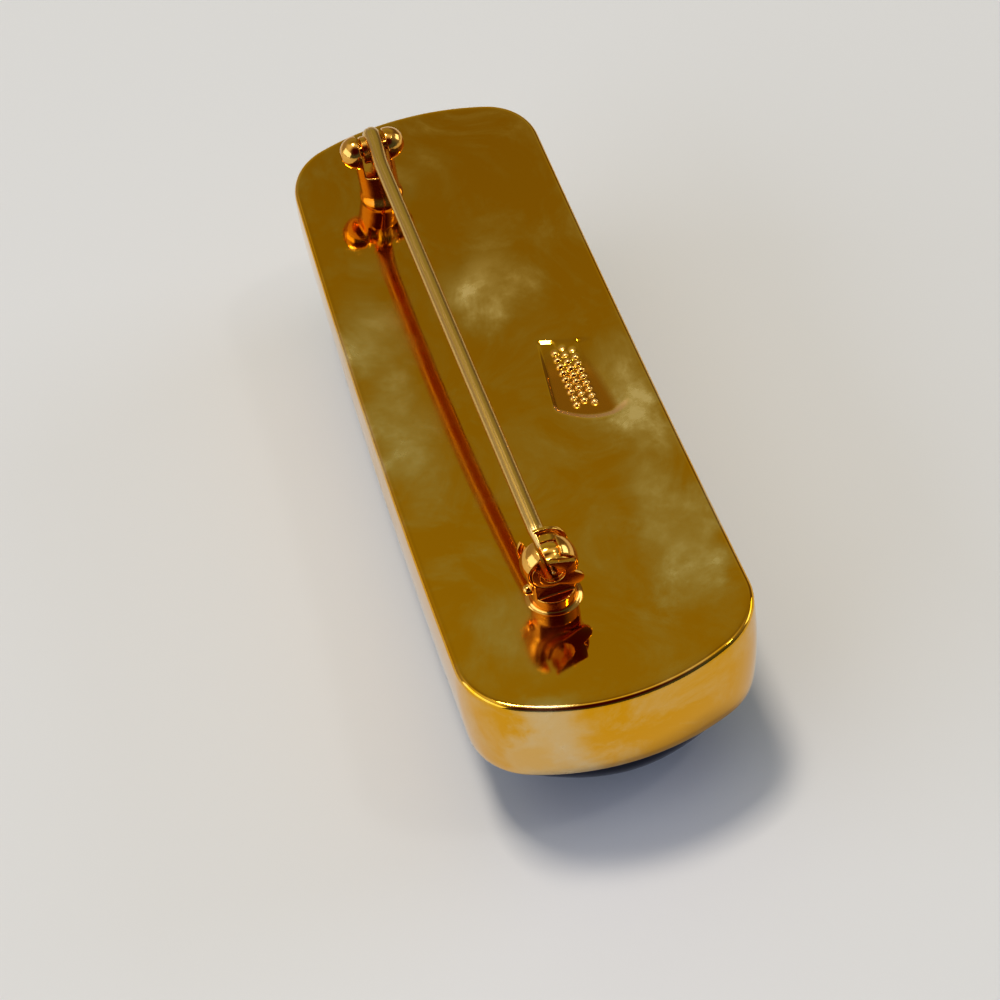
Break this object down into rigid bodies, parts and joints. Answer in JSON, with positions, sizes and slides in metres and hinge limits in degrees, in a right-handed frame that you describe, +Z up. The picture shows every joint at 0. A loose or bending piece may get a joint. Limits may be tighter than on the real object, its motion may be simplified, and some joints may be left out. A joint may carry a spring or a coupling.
{
  "type": "bar brooch",
  "caption": "Curved bar brooch lying on its domed dark front, gilt case with a hinged pin and a turning safety catch on the back.",
  "frame": {"origin": "on the surface that the brooch lies on, under the middle of the bar", "axes": "+X along the bar from the catch end to the hinge end, +Y across the bar towards the side that the pin leans to, +Z up out of the back plate"},
  "size_m": [0.0542, 0.019, 0.0192],
  "materials": {
    "gilt case": "polished gilding over cast alloy",
    "dark front": "polished translucent navy resin",
    "gilt rivet": "gilt wire with set heads",
    "pin wire": "drawn wire, pale gilding, satin",
    "gilt lock": "gilt sheet, satin"
  },
  "bodies": {
    "brooch": {"case": "gilt case", "stone": "dark front", "hinge_rivet": "gilt rivet"},
    "pin": {"pin_stem": "pin wire"},
    "lock": {"catch_lock": "gilt lock"}
  },
  "joints": [
    {"name": "pin_hinge", "type": "hinge", "parent": "brooch", "child": "pin", "pos_m": [0.0205, 0.0031, 0.01765], "axis": [-0.0297, 0.9996, 0], "range_deg": [0, 100]},
    {"name": "lock_turn", "type": "hinge", "parent": "brooch", "child": "lock", "pos_m": [-0.01778, 0.00196, 0.01652], "axis": [0.9996, 0.0297, 0], "range_deg": [0, 35]}
  ]
}
